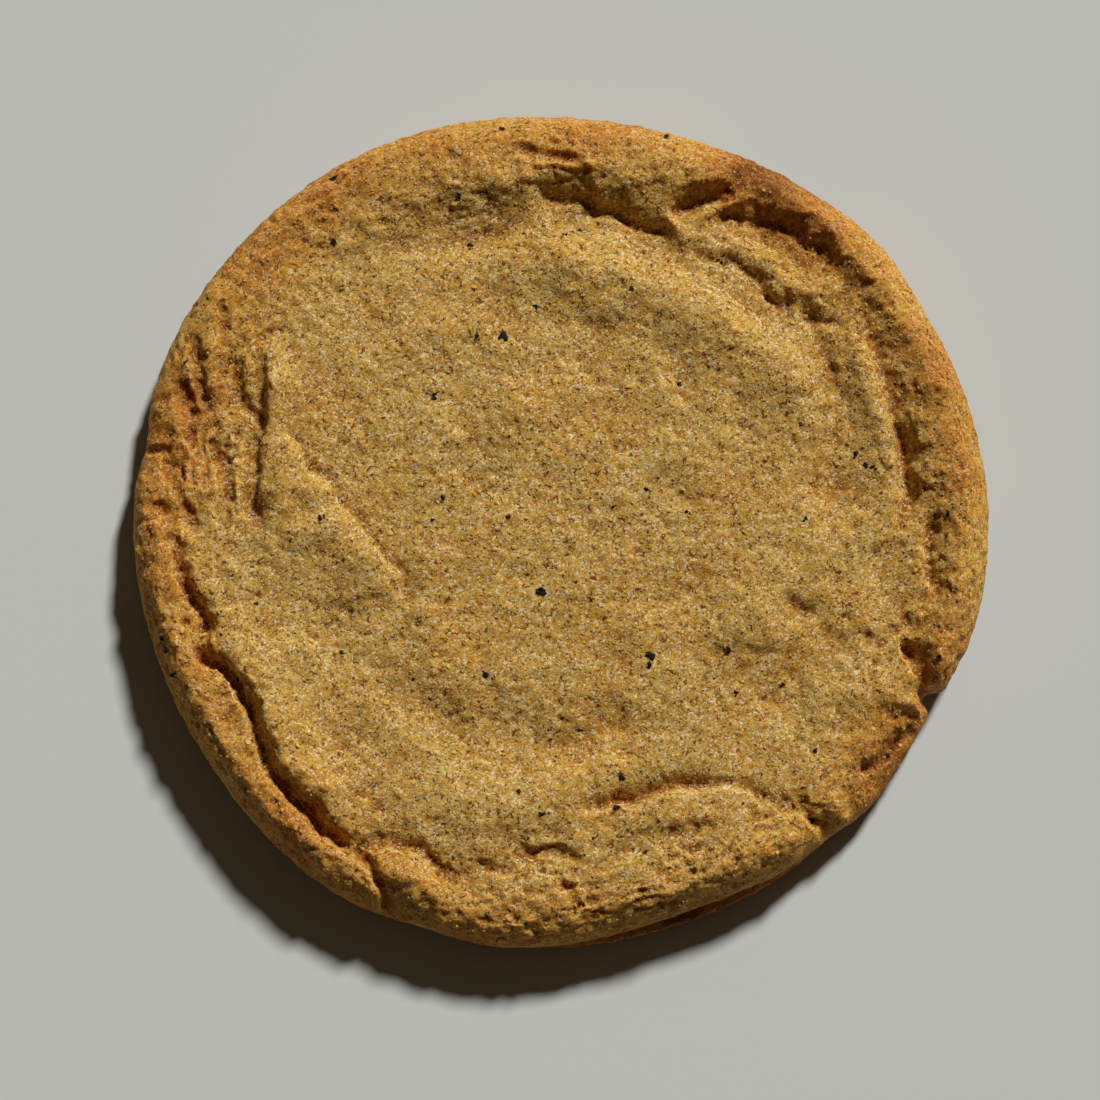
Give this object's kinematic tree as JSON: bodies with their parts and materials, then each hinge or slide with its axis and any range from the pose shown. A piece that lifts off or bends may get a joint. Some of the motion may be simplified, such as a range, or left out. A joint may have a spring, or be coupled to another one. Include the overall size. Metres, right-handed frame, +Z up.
{
  "type": "cornbread cookie",
  "caption": "Thick soft-baked round cornbread cookie with a sunken middle, rolled and folded rim and a flat base.",
  "frame": {"origin": "middle of the flat base, where the cookie rests", "axes": "+Z up through the cookie's thickness, -Y towards the edge nearest the viewer in the picture, +X to the picture's right"},
  "size_m": [0.1003, 0.0986, 0.0108],
  "materials": {
    "crust": null
  },
  "bodies": {
    "root": {"cookie": "crust"}
  },
  "joints": []
}
